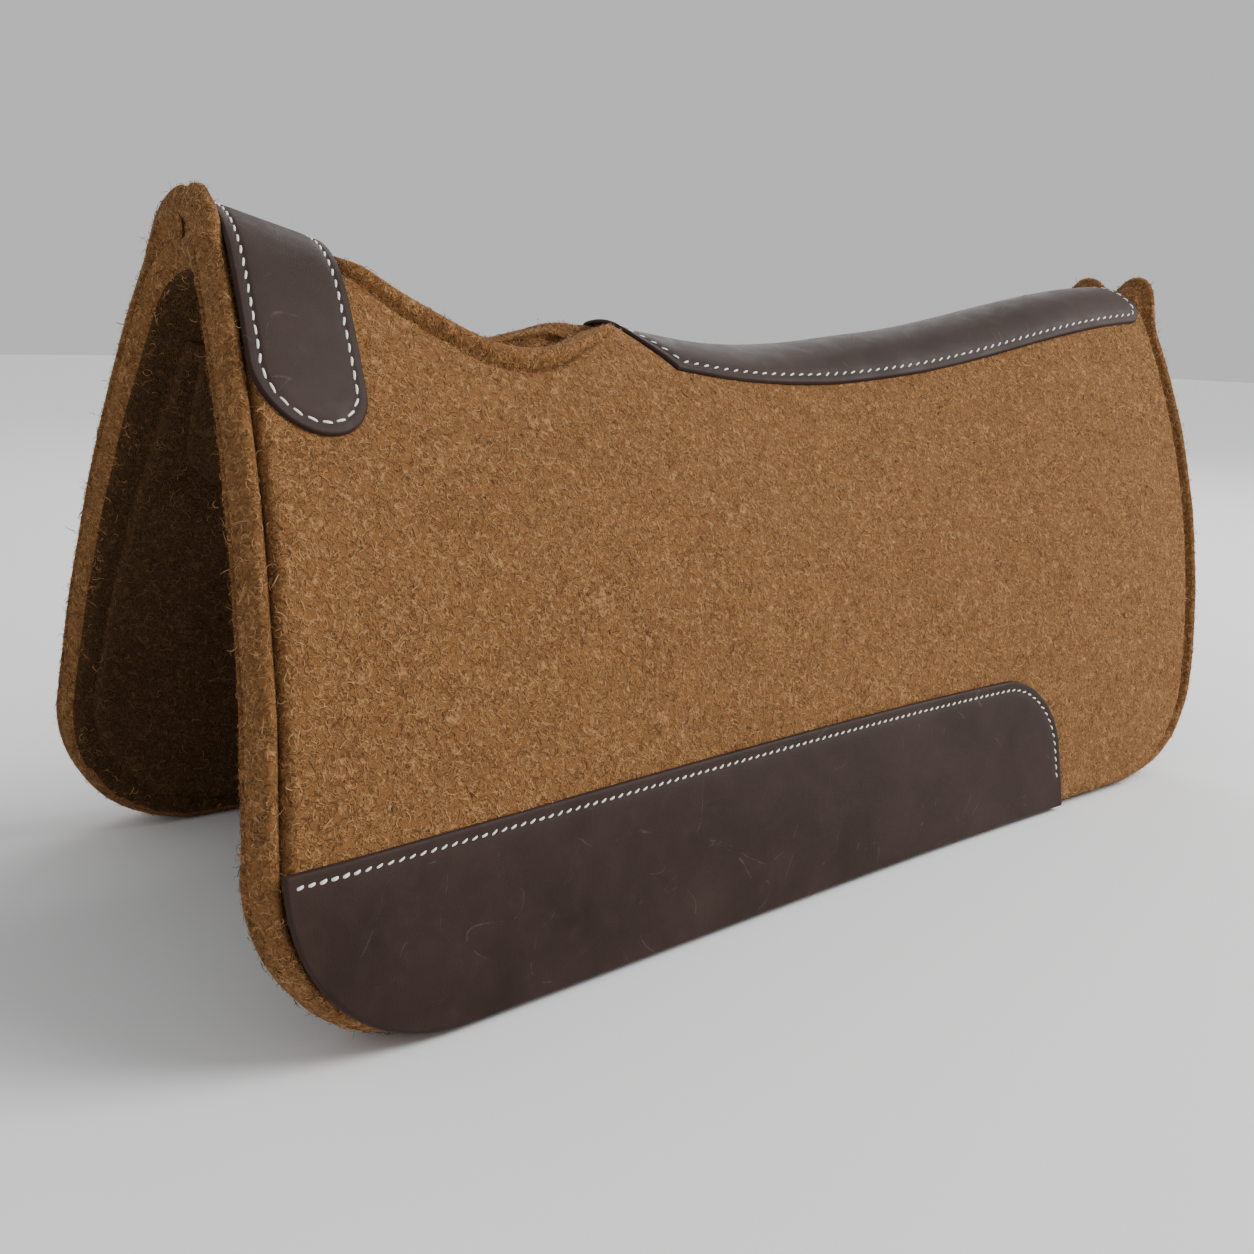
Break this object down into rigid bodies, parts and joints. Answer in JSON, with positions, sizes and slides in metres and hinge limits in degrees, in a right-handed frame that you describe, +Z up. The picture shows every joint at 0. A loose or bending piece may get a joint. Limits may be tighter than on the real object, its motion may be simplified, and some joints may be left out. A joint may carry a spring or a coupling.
{
  "type": "saddle pad",
  "caption": "Contoured wool-felt western saddle pad with an open wither slot, leather wither strap, spine strip and wear leathers.",
  "frame": {"origin": "middle of the bounding box on the floor plane that the lower edges rest on", "axes": "+X from the horse's head end to the tail end, +Y to the horse's right, +Z up"},
  "size_m": [0.8012, 0.3598, 0.3694],
  "materials": {
    "felt": "golden brown pressed wool felt, fuzzy",
    "felt_inner": "brown pressed wool felt on the horse side",
    "leather": "dark brown oiled leather, satin",
    "thread": "off-white waxed thread"
  },
  "bodies": {
    "left_flank": {"core_felt_left": "felt", "outer_panel_left": "felt", "inner_panel_left": "felt_inner", "wither_patch_left": "felt_inner", "wear_leather_left": "leather", "wear_stitching_left": "thread", "wither_leather": "leather", "wither_stitching": "thread", "spine_leather": "leather", "spine_stitching": "thread"},
    "right_flank": {"core_felt_right": "felt", "outer_panel_right": "felt", "inner_panel_right": "felt_inner", "wither_patch_right": "felt_inner", "wear_leather_right": "leather", "wear_stitching_right": "thread"}
  },
  "joints": [
    {"name": "spine_fold", "type": "hinge", "parent": "left_flank", "child": "right_flank", "pos_m": [-0.3614, 0, 0.345], "axis": [0.9995, 0, -0.0302], "range_deg": [-3.5, 40], "stiffness_Nm_per_rad": 12, "deforming": ["wither_leather", "wither_stitching", "spine_leather", "spine_stitching"]}
  ]
}
